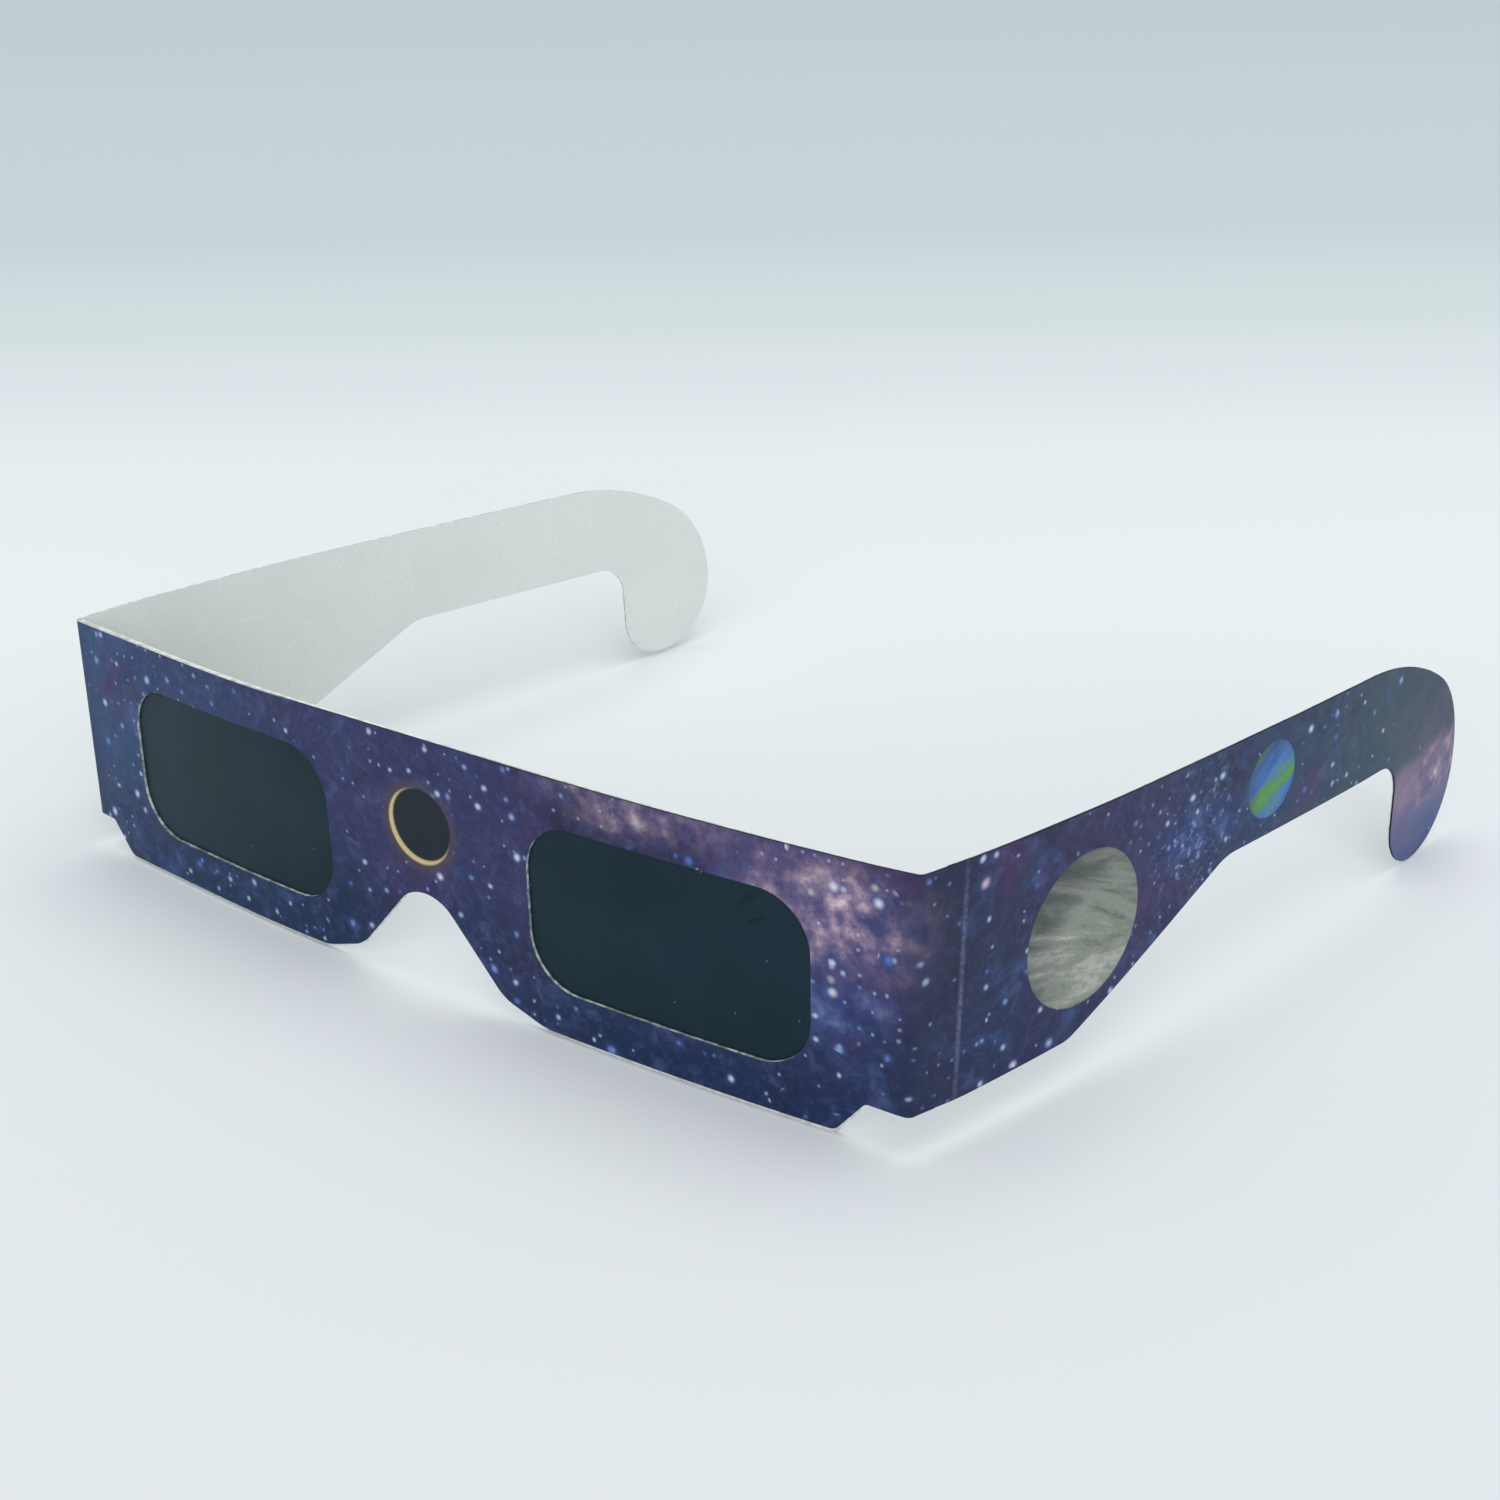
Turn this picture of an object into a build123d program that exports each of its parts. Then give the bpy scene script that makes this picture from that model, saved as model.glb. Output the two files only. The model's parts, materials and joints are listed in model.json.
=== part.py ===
from build123d import *
import os
from math import acos, asin, atan2, copysign, cos, degrees, hypot, radians, sin, tan

# Folding card glasses with two dark film windows, standing on a table.
# Millimetres. +Z is up, the printed front faces -Y, and +X is the wearer's left.
# The origin is the middle of the footprint, on the table.

# Sheet thicknesses
card = 0.4
film = 0.08
glue = 0.14
seat_gap = 0.02  # between layers that are pressed together

# Front of the glasses, seen square on, with its two windows
front_height = 37.0
front_lift = 0.25  # the printed card stands this far above the table
window_width = 42.4
bridge_width = 36.0  # between the windows
window_drop = 6.5  # from the top edge of the front down to a window
window_foot = 7.0  # from a window down to the foot of the front
window_radius = 7.4

# Ends of the front, from the outer side of a window
blank_shift = 1.8  # the cut outline lies this far to the wearer's right of the windows
notch_border = 4.5  # to the foot of the end notch
notch_run = 4.6
notch_height = 5.4
notch_radius = 0.9
fold_border = 4.5  # from the top of the notch to the fold
crease_setback = 8.0  # from the fold to the die crease

# Nose cut
nose_height = 14.4
nose_radius = 6.3
nose_border = 2.42  # from a window's inner side to where the flank would meet the foot
shoulder_height = 2.8
shoulder_reach = 2.2  # how far the shoulder runs out under a window
shoulder_radius = 3.0

# Films
film_margin = 3.0
film_radius = 1.5
pocket_gap = 0.2

# Inner card, glued on a little crooked
back_skew = 0.2
back_end_gap = 0.6  # between the inner card's end and the fold line

# Bow of the front in plan
flat_half = 18.5
left_bow_angle = 6.0
right_bow_angle = 6.5
right_bow_length = 33.0

# Folds and die creases: a hollow edge turns around a round one
fold_gap = 0.09

# Temple outline, measured along the arm from the die crease and down from its top edge
arm_height = 15.7
root_length = 20.2
root_rise = 0.8  # from the foot of the crease up to the root's lower corner
root_radius = 5.0
taper_end = 51.5
taper_radius = 9.0
hook_start = 94.8
hook_width = 22.5
hook_lean = 1.0
hook_corner_radius = 3.5
hook_depth = 35.4
tip_outer_radius = 10.0
tip_inner_radius = 6.5
hook_back_radius = 28.0
hook_back_turn = 20.0
hook_crown_radius = 18.0
hook_crown_turn = 40.0

# Temple plan, as headings from the front's line and turns towards the head
left_heading = 74.2
left_turns = (5.2, 2.0, 6.5)
right_heading = 94.5
right_turns = (7.2, 1.3, -3.0)
root_bend_length = 36.0
arm_bend_length = 44.0

# Cutting shapes reach this far past what they cut
overrun = 2.0

window_height = front_height - window_drop - window_foot
window_offset = (bridge_width + window_width) / 2
notch_half = bridge_width / 2 + window_width + notch_border
front_half = notch_half + notch_run + fold_border
band_height = front_height - notch_height
root_height = band_height - root_rise
arm_length = hook_start + hook_width
left_bow_length = front_half - flat_half
right_wing_length = left_bow_length - right_bow_length
left_bow_radius = left_bow_length / radians(left_bow_angle)
right_bow_radius = right_bow_length / radians(right_bow_angle)
half_card = card / 2
hollow_radius = half_card + fold_gap
glue_depth = half_card + glue / 2
back_depth = half_card + glue + half_card
front_top = front_lift + front_height
band_base = front_top - band_height
left_strip_length = crease_setback - blank_shift
right_strip_length = crease_setback + blank_shift
last_bend_length = arm_length - root_bend_length - arm_bend_length + overrun
bend_lengths = (root_bend_length, arm_bend_length, last_bend_length)


def draw_bow(behind):
    """One line of the bowed front in plan, this far behind the printed card's middle."""
    middle = Line((-flat_half, behind), (flat_half, behind))
    left_bow = JernArc(middle @ 1, middle % 1, left_bow_radius - behind, left_bow_angle)
    right_bow = JernArc(middle @ 0, -(middle % 0), right_bow_radius - behind, -right_bow_angle)
    right_wing = Line(right_bow @ 1, (right_bow @ 1) + (right_bow % 1) * right_wing_length)
    return left_bow @ 1, right_wing @ 1


def draw_layer(depth, thickness):
    """Plan of one layer of the front, as a closed line around its middle."""
    front_ends = draw_bow(depth - thickness / 2)
    back_ends = draw_bow(depth + thickness / 2)
    Line(front_ends[0], back_ends[0])
    Line(front_ends[1], back_ends[1])


def heading_vector(side, heading):
    """Plan direction of a side sheet; side is 1 for the wearer's left, -1 for the right."""
    return Vector(side * cos(radians(heading)), sin(radians(heading)), 0)


def draw_arm(start, side, heading, turns, offset):
    """One line of a temple in plan, this far to the left of its middle."""
    direction = heading_vector(side, heading)
    first = start + Vector(-direction.Y, direction.X, 0) * offset
    point = first
    for length, turn in zip(bend_lengths, turns):
        swing = side * turn
        radius = length / radians(abs(turn)) - copysign(offset, swing)
        bend = JernArc(point, direction, radius, swing)
        point = bend @ 1
        direction = bend % 1
    return first, point


# Plan lines that place the folds, the die creases and the ends of the temples
with BuildLine() as front_plan:
    left_fold, right_fold = draw_bow(0)
left_crease = left_fold + heading_vector(1, left_heading) * left_strip_length
right_crease = right_fold + heading_vector(-1, right_heading) * right_strip_length
with BuildLine() as left_plan:
    left_end = draw_arm(left_crease, 1, left_heading, left_turns, 0)[1]
with BuildLine() as right_plan:
    right_end = draw_arm(right_crease, -1, right_heading, right_turns, 0)[1]
left_chord = degrees(atan2(left_end.Y - left_crease.Y, left_end.X - left_crease.X))
right_chord = degrees(atan2(right_end.Y - right_crease.Y, right_crease.X - right_end.X))

# Each temple slopes down just enough for its hook to stand on the table
tip_distance = arm_length - tip_outer_radius
tip_depth = hook_depth - tip_outer_radius
tip_reach = hypot(tip_distance, tip_depth)
droop = degrees(atan2(tip_distance, tip_depth) - acos((front_top - tip_outer_radius) / tip_reach))

# The footprint runs from the right fold to the left hook, and from the front to the hooks
level_length = arm_length * cos(radians(droop)) - tip_depth * sin(radians(droop))
left_trim = (left_end - left_crease).length - level_length
right_trim = (right_end - right_crease).length - level_length
left_tip = left_end - heading_vector(1, left_heading + sum(left_turns)) * left_trim
right_tip = right_end - heading_vector(-1, right_heading + sum(right_turns)) * right_trim
middle_x = (left_tip.X + right_fold.X) / 2
middle_y = (max(left_tip.Y, right_tip.Y) - half_card) / 2
home = Plane(origin=(-middle_x, -middle_y, 0))
front_face = Plane(
    origin=(-middle_x, -middle_y, front_lift), x_dir=(1, 0, 0), z_dir=(0, -1, 0)
)
back_corner = notch_half - blank_shift
back_face = Plane(
    origin=(back_corner - middle_x, -middle_y, 0),
    x_dir=(cos(radians(back_skew)), 0, -sin(radians(back_skew))),
    z_dir=(0, -1, 0),
)


def draw_front_outline(middle, left_reach, right_reach):
    """Outline of a front card around x = middle: end notches, nose cut and straight foot."""
    flank_foot = bridge_width / 2 - nose_border
    crown_height = nose_height - nose_radius
    crown_distance = hypot(crown_height, flank_foot)
    flank = atan2(crown_height, flank_foot) + asin(nose_radius / crown_distance)
    peak = flank_foot * tan(flank)
    left_half = [
        (middle + notch_half + notch_run, notch_height),
        (middle + notch_half, 0),
        (middle + bridge_width / 2 + shoulder_reach, 0),
        (middle + flank_foot - shoulder_height / tan(flank), shoulder_height),
    ]
    right_half = [(2 * middle - x, z) for x, z in reversed(left_half)]
    half_radii = [notch_radius, notch_radius, notch_radius, shoulder_radius]
    FilletPolyline(
        (left_reach, notch_height),
        *left_half,
        (middle, peak),
        *right_half,
        (-right_reach, notch_height),
        radius=half_radii + [nose_radius] + half_radii[::-1],
    )
    Polyline(
        (-right_reach, notch_height),
        (-right_reach, front_height),
        (left_reach, front_height),
        (left_reach, notch_height),
    )


def place_windows(middle, grow, radius, mode):
    """Both window shapes on a front card, each larger by grow on every side."""
    height = window_foot + window_height / 2
    with Locations((middle - window_offset, height), (middle + window_offset, height)):
        RectangleRounded(
            window_width + 2 * grow, window_height + 2 * grow, radius, mode=mode
        )


def draw_temple_outline():
    """Outline of a temple: arm, taper to the crease, and hook with a flat-footed tip."""
    turned = radians(hook_back_turn + hook_crown_turn)
    back_rise = hook_back_radius * sin(radians(hook_back_turn))
    crown_rise = hook_crown_radius * (sin(turned) - sin(radians(hook_back_turn)))
    brow_radius = (tip_depth - back_rise - crown_rise) / (1 - sin(turned))
    outermost = (arm_length, -tip_depth)
    back = JernArc(outermost, (0, 1), hook_back_radius, hook_back_turn)
    crown = JernArc(back @ 1, back % 1, hook_crown_radius, hook_crown_turn)
    brow = JernArc(crown @ 1, crown % 1, brow_radius, 90 - degrees(turned))
    Line(brow @ 1, (-overrun, 0))
    tip_outer = JernArc(outermost, (0, -1), tip_outer_radius, -90)
    tip_inner_x = hook_start + hook_lean + tip_inner_radius
    foot = Line(tip_outer @ 1, (tip_inner_x, -hook_depth))
    tip_inner = JernArc(foot @ 1, foot % 1, tip_inner_radius, -90)
    FilletPolyline(
        tip_inner @ 1,
        (hook_start, -arm_height),
        (taper_end, -arm_height),
        (root_length, -root_height),
        (-overrun, -band_height),
        radius=[hook_corner_radius, taper_radius, root_radius],
    )
    Line((-overrun, -band_height), (-overrun, 0))


# Printed front: the middle of the outer card, with a round edge at each fold
with BuildPart() as front_card:
    with BuildSketch(home):
        with BuildLine():
            draw_layer(0, card)
        make_face()
        with Locations(left_fold, right_fold):
            Circle(half_card)
    extrude(amount=front_top + overrun)
    with BuildSketch(front_face):
        with BuildLine():
            draw_front_outline(-blank_shift, front_half + overrun, front_half + overrun)
        make_face()
        place_windows(0, 0, window_radius, Mode.SUBTRACT)
    extrude(amount=front_half, both=True, mode=Mode.INTERSECT)
front_card.part.label = "front_card"

# Inner card: the same outline and windows, short of the folds and a little crooked
with BuildPart() as back_card:
    with BuildSketch(home):
        with BuildLine():
            draw_layer(back_depth, card)
        make_face()
    extrude(amount=front_top + overrun)
    with BuildSketch(back_face):
        with BuildLine():
            draw_front_outline(
                -notch_half,
                left_fold.X - back_end_gap - back_corner,
                back_corner - right_fold.X - back_end_gap,
            )
        make_face()
        place_windows(blank_shift - notch_half, 0, window_radius, Mode.SUBTRACT)
    extrude(amount=front_half, both=True, mode=Mode.INTERSECT)
back_card.part.label = "back_card"

# Glue between the cards, with a pocket around each film
with BuildPart() as glue_layer:
    with BuildSketch(home):
        with BuildLine():
            draw_layer(glue_depth, glue - 2 * seat_gap)
        make_face()
    extrude(amount=front_top + overrun)
    with BuildSketch(front_face):
        with BuildLine():
            draw_front_outline(
                -blank_shift, left_fold.X - back_end_gap, -right_fold.X - back_end_gap
            )
        make_face()
        place_windows(
            0, film_margin + pocket_gap, film_radius + pocket_gap, Mode.SUBTRACT
        )
    extrude(amount=front_half, both=True, mode=Mode.INTERSECT)
glue_layer.part.label = "glue_layer"

# Dark film behind each window, lying in its pocket of the glue
with BuildPart() as films:
    with BuildSketch(home):
        with BuildLine():
            draw_layer(glue_depth, film)
        make_face()
    extrude(amount=front_top + overrun)
    with BuildSketch(front_face):
        place_windows(0, film_margin, film_radius, Mode.ADD)
    extrude(amount=front_half, both=True, mode=Mode.INTERSECT)
right_filter, left_filter = films.solids().sort_by(Axis.X)
right_filter.label = "right_filter"
left_filter.label = "left_filter"


def build_strip(fold, crease):
    """Sheet from the fold to the die crease: hollow edge first, round edge last."""
    along = (crease - fold).normalized()
    across = Vector(-along.Y, along.X, 0) * half_card
    with BuildPart() as strip:
        with BuildSketch(home.offset(band_base)):
            with BuildLine():
                Polyline(
                    fold + across,
                    crease + across,
                    crease - across,
                    fold - across,
                    close=True,
                )
            make_face()
            with Locations(crease):
                Circle(half_card)
            with Locations(fold):
                Circle(hollow_radius, mode=Mode.SUBTRACT)
        extrude(amount=band_height)
    return strip.part


def build_temple(side, crease, heading, turns, chord):
    """One temple: a curved sheet cut to the arm and its hook, hollow along the crease."""
    ahead = heading_vector(side, chord)
    arm_face = Plane(
        origin=home.from_local_coords(crease + Vector(0, 0, front_top)),
        x_dir=ahead * cos(radians(droop)) - Vector(0, 0, sin(radians(droop))),
        z_dir=Vector(ahead.Y, -ahead.X, 0),
    )
    with BuildPart() as temple:
        with BuildSketch(home):
            with BuildLine():
                outer_ends = draw_arm(crease, side, heading, turns, -half_card)
                inner_ends = draw_arm(crease, side, heading, turns, half_card)
                Line(outer_ends[0], inner_ends[0])
                Line(outer_ends[1], inner_ends[1])
            make_face()
            with Locations(crease):
                Circle(hollow_radius, mode=Mode.SUBTRACT)
        extrude(amount=front_top + overrun)
        with BuildSketch(arm_face):
            with BuildLine():
                draw_temple_outline()
            make_face()
        extrude(amount=front_half, both=True, mode=Mode.INTERSECT)
    return temple.part


# Strips of the outer card between each fold and its die crease
left_strip = build_strip(left_fold, left_crease)
left_strip.label = "left_strip"
right_strip = build_strip(right_fold, right_crease)
right_strip.label = "right_strip"

# Temples
left_temple = build_temple(1, left_crease, left_heading, left_turns, left_chord)
left_temple.label = "left_temple"
right_temple = build_temple(-1, right_crease, right_heading, right_turns, right_chord)
right_temple.label = "right_temple"

os.makedirs("parts", exist_ok=True)
sheets = [
    front_card.part,
    back_card.part,
    glue_layer.part,
    left_filter,
    right_filter,
    left_strip,
    right_strip,
    left_temple,
    right_temple,
]
for sheet in sheets:
    export_step(sheet, f"parts/{sheet.label}.step")
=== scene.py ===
# %% [markdown]
# # Folding card eclipse glasses
#
# These glasses are one long printed card, folded round the face, with a white card glued behind
# its middle and two dark films held between them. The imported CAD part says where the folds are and
# how the sheets lie. This script makes the sheets that are seen: each one starts flat, as card
# does, is cut to its outline, and is then laid along the line that the folded card follows.

# %% Load the frame
import bpy
import json
from math import asin, atan2, cos, hypot, pi, radians, sin, tan
from mathutils import Matrix, Vector


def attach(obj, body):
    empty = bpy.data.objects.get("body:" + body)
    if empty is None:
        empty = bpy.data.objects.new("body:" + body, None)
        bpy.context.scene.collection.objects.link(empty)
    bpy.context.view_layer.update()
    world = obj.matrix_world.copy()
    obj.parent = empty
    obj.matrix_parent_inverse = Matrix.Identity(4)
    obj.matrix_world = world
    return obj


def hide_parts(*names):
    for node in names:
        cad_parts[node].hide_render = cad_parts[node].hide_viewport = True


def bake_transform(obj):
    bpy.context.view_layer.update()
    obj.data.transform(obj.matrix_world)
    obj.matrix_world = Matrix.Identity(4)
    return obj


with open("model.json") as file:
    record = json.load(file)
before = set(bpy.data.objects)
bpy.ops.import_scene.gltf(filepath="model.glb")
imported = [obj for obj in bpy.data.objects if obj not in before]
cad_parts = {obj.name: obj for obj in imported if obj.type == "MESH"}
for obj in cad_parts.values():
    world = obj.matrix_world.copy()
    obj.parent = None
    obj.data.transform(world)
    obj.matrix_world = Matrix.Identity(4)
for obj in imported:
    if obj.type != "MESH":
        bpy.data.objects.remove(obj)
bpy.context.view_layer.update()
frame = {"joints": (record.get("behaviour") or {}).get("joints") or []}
joints = {joint["name"]: joint for joint in frame["joints"]}
for name, joint in joints.items():
    print(name, "at", joint["pos_m"], "range", joint["range_deg"])

# %% [markdown]
# ## Sizes
#
# Lengths are in metres. The places of the folds and creases are read from the joints. The rest of
# the flat card is written at its real size: what several sheets share stands here, and what only
# one outline needs stands beside that outline.

# %% Sizes of the flat card
mm = 0.001
card, film, glue = 0.4 * mm, 0.08 * mm, 0.14 * mm
front_height = 37.0 * mm
front_lift = 0.25 * mm
card_top = front_lift + front_height
window_width = 42.4 * mm
bridge_width = 36.0 * mm
notch_border = 4.5 * mm
notch_run = 4.6 * mm
fold_border = 4.5 * mm
hook_start = 96.4 * mm
hook_width = 21.2 * mm

notch_half = bridge_width / 2 + window_width + notch_border
front_half = notch_half + notch_run + fold_border
arm_length = hook_start + hook_width
print("fold to fold along the card:", round(2 * front_half / mm, 1), "mm")
print("a temple from its crease on:", round(arm_length / mm, 1), "mm")

# %% [markdown]
# ## The line that the card follows
#
# Seen from above, the card is a line: flat in the middle, bowed towards its ends, turned at each
# fold and curled along each temple. Real card doesn't fold to a point, so each fold is a small
# arc. The line is walked from the middle outwards, once for each side, as steps of a length and a
# turn. Drawn by hand as a curve, it wouldn't say where on the card a fold comes.

# %% Walk a line in plan
step_length = 0.25 * mm


def walk(steps, side):
    """Points of a plan line from steps of (length, turn in degrees); side is 1 left, -1 right."""
    points, stations = [Vector((0, 0))], [0.0]
    heading = 0.0
    for length, turn in steps:
        count = max(1, round(length / step_length))
        if turn:
            count = max(count, round(abs(turn)))
        for _ in range(count):
            heading += radians(turn) / count / 2
            stride = Vector((side * cos(heading), sin(heading))) * length / count
            points.append(points[-1] + stride)
            heading += radians(turn) / count / 2
        stations.append(stations[-1] + length)
    return points, stations


# %% Bow of the front, turn of each fold and curl of each temple, in degrees
fold_radius = 0.9 * mm
flat_half = 18.5 * mm
left_bow = [(front_half - flat_half, 6.0)]
right_bow_length = 33.0 * mm
right_bow = [(right_bow_length, 6.5), (front_half - flat_half - right_bow_length, 0)]
left_fold_turn, right_fold_turn = 68.2, 88.0
left_curl, right_curl = (5.2, 2.0, 6.5), (7.2, 1.3, -3.0)
root_span, shaft_span, line_overrun = 36.0 * mm, 44.0 * mm, 2.0 * mm
temple_spans = (root_span, shaft_span, arm_length - (root_span + shaft_span) + line_overrun)


def side_steps(bow, fold_turn, strip, curl):
    """Steps of one side: flat middle, bow, rounded fold, strip, temple."""
    tangent = fold_radius * tan(radians(fold_turn) / 2)
    bow = bow[:-1] + [(bow[-1][0] - tangent, bow[-1][1])]
    steps = [(flat_half, 0)] + bow
    steps += [(fold_radius * radians(fold_turn), fold_turn), (strip - tangent, 0)]
    return steps + list(zip(temple_spans, curl))


# %% Walk both sides; the joints say how wide the strip between fold and crease is
def joint_distance(first, second):
    a, b = joints[first]["pos_m"], joints[second]["pos_m"]
    return hypot(a[0] - b[0], a[1] - b[1])


left_strip = joint_distance("left_fold", "left_crease")
right_strip = joint_distance("right_fold", "right_crease")
left_steps = side_steps(left_bow, left_fold_turn, left_strip, left_curl)
right_steps = side_steps(right_bow, right_fold_turn, right_strip, right_curl)
left_line, left_stations = walk(left_steps, 1)
right_line, right_stations = walk(right_steps, -1)
left_fold_from, left_fold_to, left_crease = left_stations[2:5]
right_fold_from, right_fold_to, right_crease = right_stations[3:6]
print("left crease at", round(left_crease / mm, 2), "right at", round(right_crease / mm, 2))

# %% Join both sides into one line, placed by the left crease
line = right_line[:0:-1] + left_line
right_length = right_stations[-1]
travelled = [0.0]
for first, second in zip(line, line[1:]):
    travelled.append(travelled[-1] + (second - first).length)


def line_point(along):
    """The point of the plan line at this distance from the middle of the windows."""
    target = along + right_length
    index = min(range(len(line)), key=lambda i: abs(travelled[i] - target))
    return line[index]


line_shift = Vector(joints["left_crease"]["pos_m"][:2]) - line_point(left_crease)
line = [point + line_shift for point in line]
right_place = Vector(joints["right_crease"]["pos_m"][:2])
print("right crease off by", (line_point(-right_crease) - right_place).length / mm, "mm")

# %% The line as a curve, which the Curve modifier can bend a sheet along
bpy.ops.curve.primitive_bezier_curve_add()
card_line = bpy.context.object
card_line.name = "card_line"
card_line.data.splines.clear()
spline = card_line.data.splines.new("POLY")
spline.points.add(len(line) - 1)
for knot, point in zip(spline.points, line):
    knot.co = (point.x, point.y, 0, 1)
card_line.location = (0, 0, 0)
card_line.data.dimensions = "3D"
card_line.data.twist_mode = "Z_UP"
card_line.data.use_deform_bounds = False
print("card line of", len(line), "points")

# %% [markdown]
# ## Helpers
#
# Every piece is made by the same few moves, so each move has its own short function. An operator
# acts on whatever is selected, so the first helper selects one piece and nothing else.


# %% Select one piece, and apply a modifier to it
def select_only(piece):
    bpy.ops.object.select_all(action="DESELECT")
    piece.select_set(True)
    bpy.context.view_layer.objects.active = piece


def apply_modifier(piece, kind, **settings):
    select_only(piece)
    modifier = piece.modifiers.new(kind.title(), kind)
    for setting, value in settings.items():
        setattr(modifier, setting, value)
    bpy.ops.object.modifier_apply(modifier=modifier.name)


# %% [markdown]
# ### Cutting
#
# Real card is stamped out by a steel rule die, a blade that is bent to the outline. Here the blade
# is a prism, and a boolean keeps what lies inside it or takes out what does. The outline's points
# could be joined to the sheet's grid by hand, but the boolean does that by itself, and the grid
# stays even, so the sheet bends without kinks. Each cut gives its rim a material slot of its own.

# %% Round the corners of an outline
arc_steps = 14


def round_corners(corners):
    """Points of an outline whose corners are (x, z, radius), each turned by an arc."""
    points = []
    for index, (x, z, radius) in enumerate(corners):
        corner = Vector((x, z))
        before = (Vector(corners[index - 1][:2]) - corner).normalized()
        after = (Vector(corners[(index + 1) % len(corners)][:2]) - corner).normalized()
        if radius == 0:
            points.append(corner)
            continue
        turn = pi - before.angle(after)
        centre = corner + (before + after).normalized() * radius / cos(turn / 2)
        start = corner + before * radius * tan(turn / 2) - centre
        end = corner + after * radius * tan(turn / 2) - centre
        sweep = atan2(start.x * end.y - start.y * end.x, start.dot(end))
        for step in range(arc_steps + 1):
            points.append(centre + Matrix.Rotation(sweep * step / arc_steps, 2) @ start)
    return points


# %% The blade, and the cut
cutter_depth = 6 * mm
back_slot, hole_slot, outline_slot = 1, 2, 3


def add_cutter(corners, turn=0.0, about=(0, 0)):
    """A prism through the sheet with this outline, turned in the sheet's plane about a point."""
    points = round_corners(corners)
    bpy.ops.mesh.primitive_circle_add(vertices=len(points), fill_type="NGON")
    cutter = bpy.context.object
    pivot = Vector(about)
    for vertex, point in zip(cutter.data.vertices, points):
        spot = pivot + Matrix.Rotation(turn, 2) @ (point - pivot)
        vertex.co = (spot.x, -cutter_depth / 2, spot.y)
    bpy.ops.object.mode_set(mode="EDIT")
    bpy.ops.mesh.select_all(action="SELECT")
    move = {"value": (0, cutter_depth, 0)}
    bpy.ops.mesh.extrude_region_move(TRANSFORM_OT_translate=move)
    bpy.ops.mesh.select_all(action="SELECT")
    bpy.ops.mesh.normals_make_consistent(inside=False)
    bpy.ops.object.mode_set(mode="OBJECT")
    return cutter


def cut(sheet, cutter, operation):
    """Keep what lies inside the cutter (INTERSECT), or cut it out as a hole (DIFFERENCE)."""
    for material in sheet.data.materials:
        cutter.data.materials.append(material)
    for polygon in cutter.data.polygons:
        polygon.material_index = outline_slot if operation == "INTERSECT" else hole_slot
    apply_modifier(sheet, "BOOLEAN", object=cutter, operation=operation, solver="EXACT")
    bpy.data.objects.remove(cutter)


# %% [markdown]
# ### Flat sheets
#
# A sheet is a grid with a thickness. A grid of even columns would do for the flat stretches, but a
# fold is under two millimetres wide, so the columns stand closer together there. The grid lies on
# the middle of the card, and Solidify gives half of the thickness to either side.

# %% Places of a sheet's columns and rows
card_stride, fine_stride, fine_reach = 1.2 * mm, 0.15 * mm, 1.5 * mm
row_steps, film_row_steps = 12, 24


def spaced(start, end, stride, fine=()):
    """Column places from start to end, closer together round each place in fine."""
    places = {start, end}
    steps = round((end - start) / stride)
    places.update(start + (end - start) * step / steps for step in range(steps))
    for centre in fine:
        reach = round(fine_reach / fine_stride)
        places.update(centre + step * fine_stride for step in range(-reach, reach + 1))
    kept = []
    for place in sorted(p for p in places if start <= p <= end):
        if not kept or place - kept[-1] > fine_stride / 2:
            kept.append(place)
    kept[-1] = end
    return kept


def even_rows(low, high, steps=row_steps):
    return [low + (high - low) * step / steps for step in range(steps + 1)]


# %% Lay a sheet of card flat
def add_sheet(name, columns, rows, thickness, depth, materials):
    """A flat grid of card upright along X, its print towards -Y, lying this far behind the line."""
    wide, high = len(columns) - 1, len(rows) - 1
    bpy.ops.mesh.primitive_grid_add(x_subdivisions=wide, y_subdivisions=high, size=1)
    sheet = bpy.context.object
    sheet.name = sheet.data.name = name
    for vertex in sheet.data.vertices:
        column = round((vertex.co.x + 0.5) * wide)
        row = round((vertex.co.y + 0.5) * high)
        vertex.co = (columns[column], depth, rows[row])
    for material in materials:
        sheet.data.materials.append(material)
    apply_modifier(
        sheet, "SOLIDIFY", thickness=thickness, offset=0,
        material_offset=back_slot, material_offset_rim=outline_slot,
    )
    return sheet


# %% [markdown]
# ### Map and bend
#
# A sheet gets its UV map while it is flat, straight from its own places, so the map has no seam
# and the print runs on from sheet to sheet. Then the Curve modifier lays it along the line. Card
# that is folded in the hand doesn't fold quite upright, and a Curve modifier can't splay, so a
# small shift near each fold does that afterwards.

# %% Give a flat sheet its map
sheet_unit = 100 * mm


def map_flat(sheet):
    """A UV map with the flat sheet's own places, so that print runs on over folds and joins.

    On the outline's rim the second value runs across the thickness, from 0 at the print to 1.
    """
    layers = sheet.data.uv_layers
    layer = layers[0] if layers else layers.new(name="sheet")
    layer.name = "sheet"
    depths = [vertex.co.y for vertex in sheet.data.vertices]
    print_side, back_side = min(depths), max(depths)
    for polygon in sheet.data.polygons:
        for index in polygon.loop_indices:
            spot = sheet.data.vertices[sheet.data.loops[index].vertex_index].co
            rise = (spot.z - front_lift) / sheet_unit
            if polygon.material_index == outline_slot:
                rise = (spot.y - print_side) / (back_side - print_side)
            layer.data[index].uv = (spot.x / sheet_unit, rise)


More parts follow.
